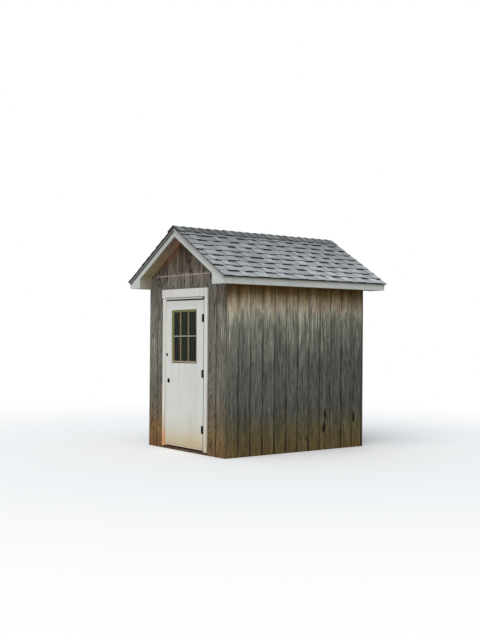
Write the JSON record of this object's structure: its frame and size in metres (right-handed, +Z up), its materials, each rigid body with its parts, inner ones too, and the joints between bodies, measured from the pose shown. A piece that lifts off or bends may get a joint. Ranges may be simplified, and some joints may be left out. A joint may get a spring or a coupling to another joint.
{
  "type": "small gabled shed",
  "caption": "Small gabled wooden shed with grooved plywood siding, boxed eaves, grey shingle roof and a white hinged door with a window.",
  "frame": {"origin": "ground level, in the middle of the shed's plan", "axes": "+Z up, the front wall with the door faces -Y, +X to the right seen from the front, the ridge runs along Y"},
  "size_m": [2.3388, 2.9162, 3.0669],
  "materials": {
    "treated_timber": "sawn, damp stained",
    "framing_timber": "sawn pine",
    "sheet_plywood": "plain plywood",
    "muddy_sill": "raw wood stained with clay",
    "weathered_siding": "grooved plywood, weathered grey brown",
    "flashing": "dull",
    "shingles": "mineral granules, matte",
    "white_trim": "white paint, dirty",
    "raw_soffit": "raw plywood",
    "door_paint": "white paint, dirty at the foot",
    "window_wood": "bare wood, olive brown",
    "window_glass": "dark, clear",
    "dark_iron": "dark, dull"
  },
  "bodies": {
    "shed": {"floor_sleepers": "treated_timber", "floor_sheet": "sheet_plywood", "bottom_plates": "treated_timber", "door_sill": "muddy_sill", "left_wall_studs": "framing_timber", "right_wall_studs": "framing_timber", "front_wall_studs": "framing_timber", "back_wall_studs": "framing_timber", "top_plates": "framing_timber", "door_header": "framing_timber", "rafters": "framing_timber", "ridge_board": "framing_timber", "left_wall_siding": "weathered_siding", "right_wall_siding": "weathered_siding", "back_wall_siding": "weathered_siding", "back_gable_siding": "weathered_siding", "front_siding_left": "weathered_siding", "front_siding_right": "weathered_siding", "front_siding_over_door": "weathered_siding", "front_gable_siding": "weathered_siding", "seam_flashing": "flashing", "roof_sheet_left": "sheet_plywood", "roof_sheet_right": "sheet_plywood", "shingles_left": "shingles", "shingles_right": "shingles", "ridge_caps": "shingles", "fascia_left": "white_trim", "fascia_right": "white_trim", "front_rake_boards": "white_trim", "back_rake_boards": "white_trim", "rake_mouldings": "white_trim", "eave_returns": "white_trim", "eave_soffits": "raw_soffit", "gable_soffits": "raw_soffit", "door_side_jambs": "white_trim", "door_head_jamb": "white_trim", "door_side_casings": "white_trim", "door_head_casing": "white_trim", "hinge_jamb_plates": "dark_iron", "hinge_pins": "dark_iron"},
    "door": {"door_leaf": "door_paint", "window_frame_outer": "window_wood", "window_frame_inner": "window_wood", "window_glass": "window_glass", "door_latch": "dark_iron", "hinge_door_plates": "dark_iron"}
  },
  "joints": [
    {"name": "door_hinge", "type": "hinge", "parent": "shed", "child": "door", "pos_m": [0.4417, -1.2536, 1.0701], "axis": [0, 0, 1], "range_deg": [0, 120]}
  ]
}
